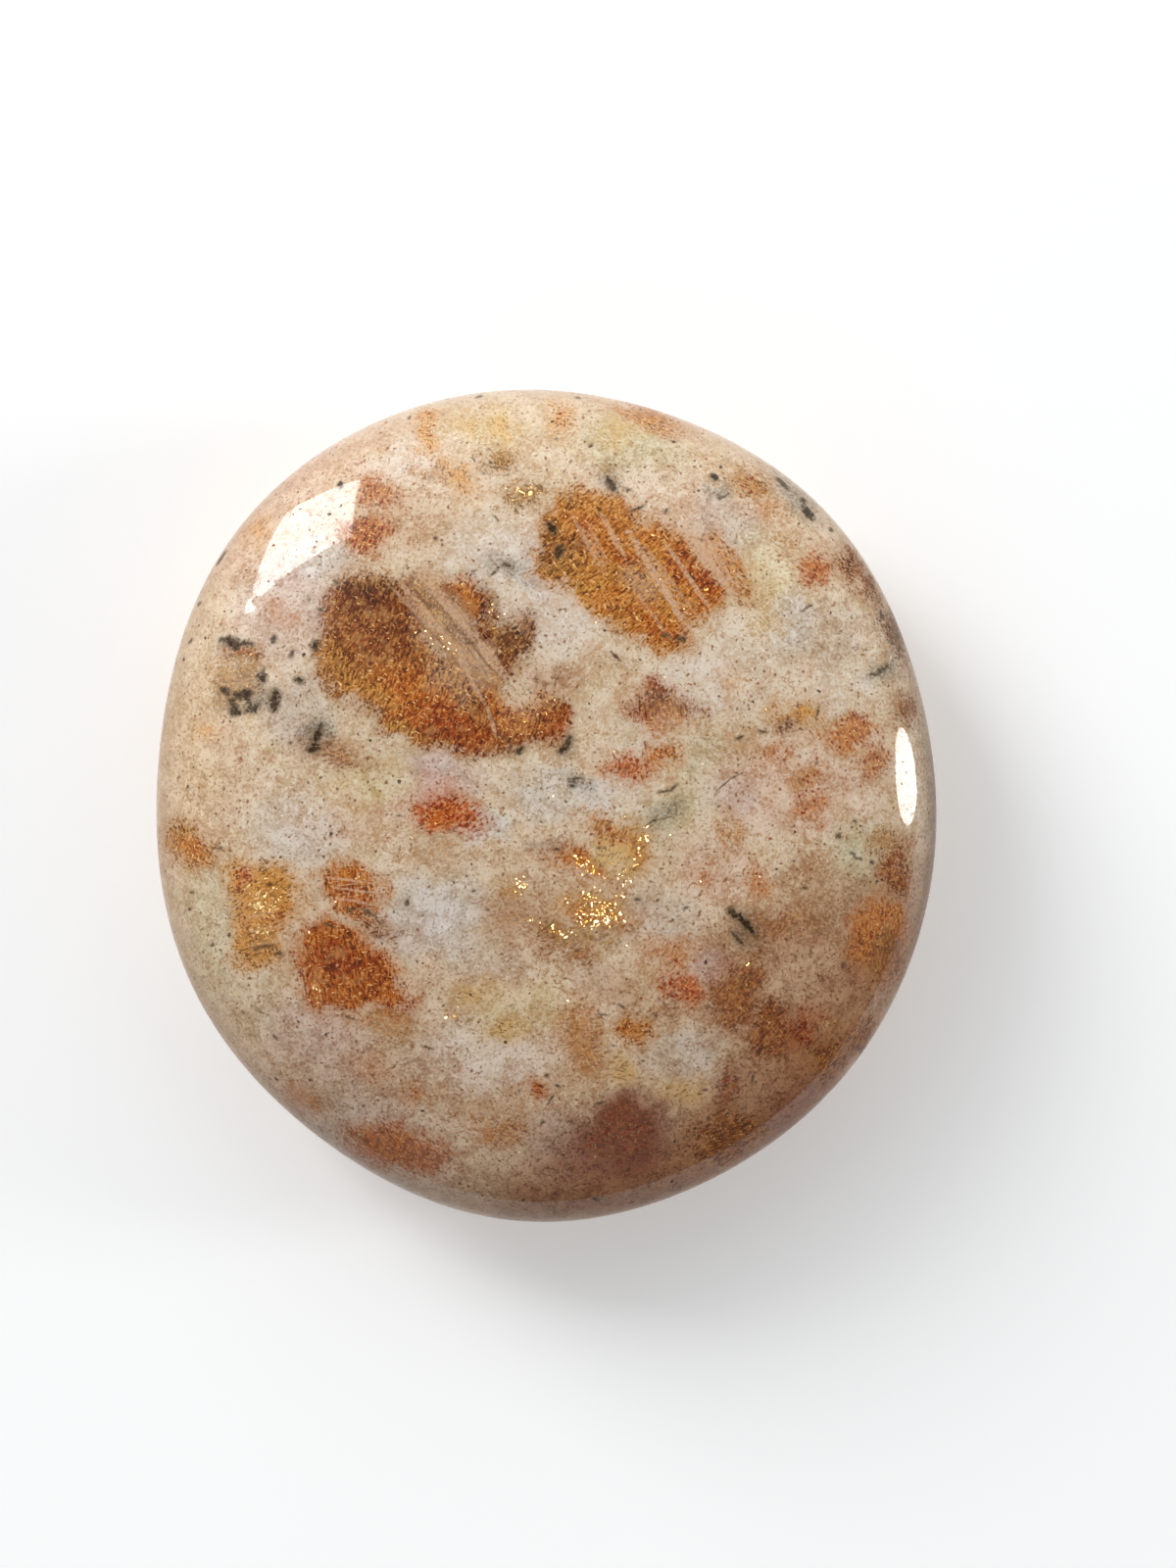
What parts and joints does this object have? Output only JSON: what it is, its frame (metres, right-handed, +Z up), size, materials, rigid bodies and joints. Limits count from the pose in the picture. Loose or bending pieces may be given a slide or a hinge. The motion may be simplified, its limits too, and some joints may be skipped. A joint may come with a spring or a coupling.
{
  "type": "polished sunstone palm stone",
  "caption": "Flat rounded pebble of polished sunstone feldspar with a low dome, a full-round rim and a flat underside to lie on.",
  "frame": {"origin": "middle of the flat underside, at the centre of the stone's outline", "axes": "+Z up through the dome, the stone's short way; +Y along its longest way across"},
  "size_m": [0.0548, 0.0586, 0.0151],
  "materials": {
    "polished_feldspar": "polished"
  },
  "bodies": {
    "root": {"sunstone": "polished_feldspar"}
  },
  "joints": []
}
